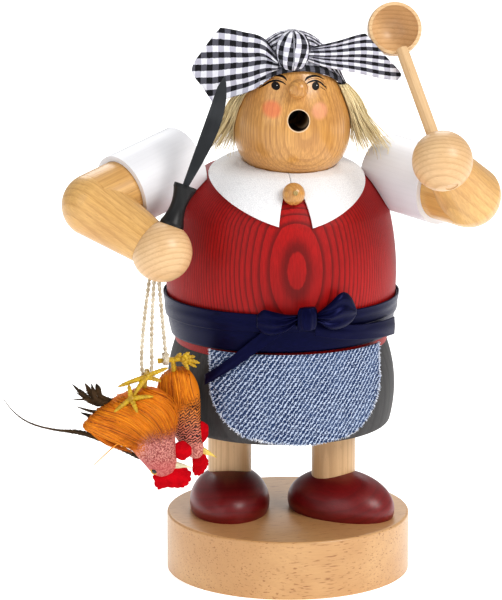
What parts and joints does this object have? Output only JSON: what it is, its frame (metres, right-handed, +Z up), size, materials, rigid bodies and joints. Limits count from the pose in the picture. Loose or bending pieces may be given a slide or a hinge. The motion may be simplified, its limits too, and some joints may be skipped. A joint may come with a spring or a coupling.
{
  "type": "incense smoker",
  "caption": "Turned wooden incense smoker in the shape of a cook with knife, spoon and hanging fowl; the upper body lifts off a burner plate.",
  "frame": {"origin": "centre of the round base's underside", "axes": "+Z up, the figure's front along -Y, its right hand (knife, left in the picture) along -X"},
  "size_m": [0.2005, 0.1186, 0.2363],
  "materials": {
    "beech": "satin, oiled beech",
    "honey_wood": "clear lacquer over maple",
    "golden_wood": "golden stain, satin",
    "red_wood": "red stain, satin",
    "grey_wood": "anthracite stain, matt",
    "white_wood": "white glaze, satin",
    "dark_red_wood": "dark red gloss lacquer",
    "black_wood": "black gloss lacquer",
    "plate_metal": "plain",
    "brass_pin": "plain",
    "blade_steel": "dark, brushed",
    "gingham": "woven black and white check",
    "straw_fibre": "straight plant fibre",
    "white_leather": "grained, matt",
    "navy_satin": "satin ribbon",
    "denim": "coarse twill, frayed edge",
    "twine": "two-ply natural twine",
    "orange_feather": "dyed feathers laid over a form",
    "dark_feather": "glossy quill feathers",
    "red_felt": "felt",
    "yellow_feet": "matt, moulded",
    "beak": "matt",
    "black_bead": "glossy"
  },
  "bodies": {
    "lower_body": {"base": "beech", "leg_left": "beech", "leg_right": "beech", "shoe_left": "dark_red_wood", "shoe_right": "dark_red_wood", "skirt": "grey_wood", "burner_plate": "plate_metal", "plate_pin": "brass_pin"},
    "upper_body": {"torso": "red_wood", "neck_tube": "beech", "head": "honey_wood", "nose": "honey_wood", "shoulder_dowel_left": "beech", "shoulder_dowel_right": "beech", "sleeve_left": "white_wood", "sleeve_right": "white_wood", "upper_arm_left": "golden_wood", "upper_arm_right": "golden_wood", "forearm_left": "golden_wood", "forearm_right": "golden_wood", "hand_left": "beech", "hand_right": "beech", "knife_handle": "black_wood", "knife_blade": "blade_steel", "spoon_handle": "beech", "spoon_bowl": "beech", "collar": "white_leather", "collar_bead": "honey_wood", "bead_pin": "brass_pin", "kerchief_cap": "gingham", "kerchief_knot": "gingham", "kerchief_end_left": "gingham", "kerchief_end_right": "gingham", "hair_left": "straw_fibre", "hair_right": "straw_fibre", "waist_ribbon": "navy_satin", "bow_knot": "navy_satin", "bow_loop_left": "navy_satin", "bow_loop_right": "navy_satin", "bow_tail_left": "navy_satin", "bow_tail_right": "navy_satin", "apron": "denim"},
    "fowl_bunch": {"twine_near": "twine", "twine_far": "twine", "twine_tie": "twine", "fowl_near_body": "orange_feather", "fowl_far_body": "orange_feather", "fowl_near_feet": "yellow_feet", "fowl_far_feet": "yellow_feet", "fowl_near_comb": "red_felt", "fowl_near_wattle": "red_felt", "fowl_far_comb": "red_felt", "fowl_far_wattle": "red_felt", "fowl_near_beak": "beak", "fowl_far_beak": "beak", "fowl_near_eye": "black_bead", "fowl_near_tail": "dark_feather", "fowl_near_plume": "dark_feather"}
  },
  "joints": [
    {"name": "lift_off", "type": "slide", "parent": "lower_body", "child": "upper_body", "axis": [0, 0, 1], "range_m": [0, 0.045]},
    {"name": "fowl_swing", "type": "hinge", "parent": "upper_body", "child": "fowl_bunch", "pos_m": [-0.05996, -0.03508, 0.13021], "axis": [-0.8251, -0.565, 0], "range_deg": [-12, 12]}
  ]
}
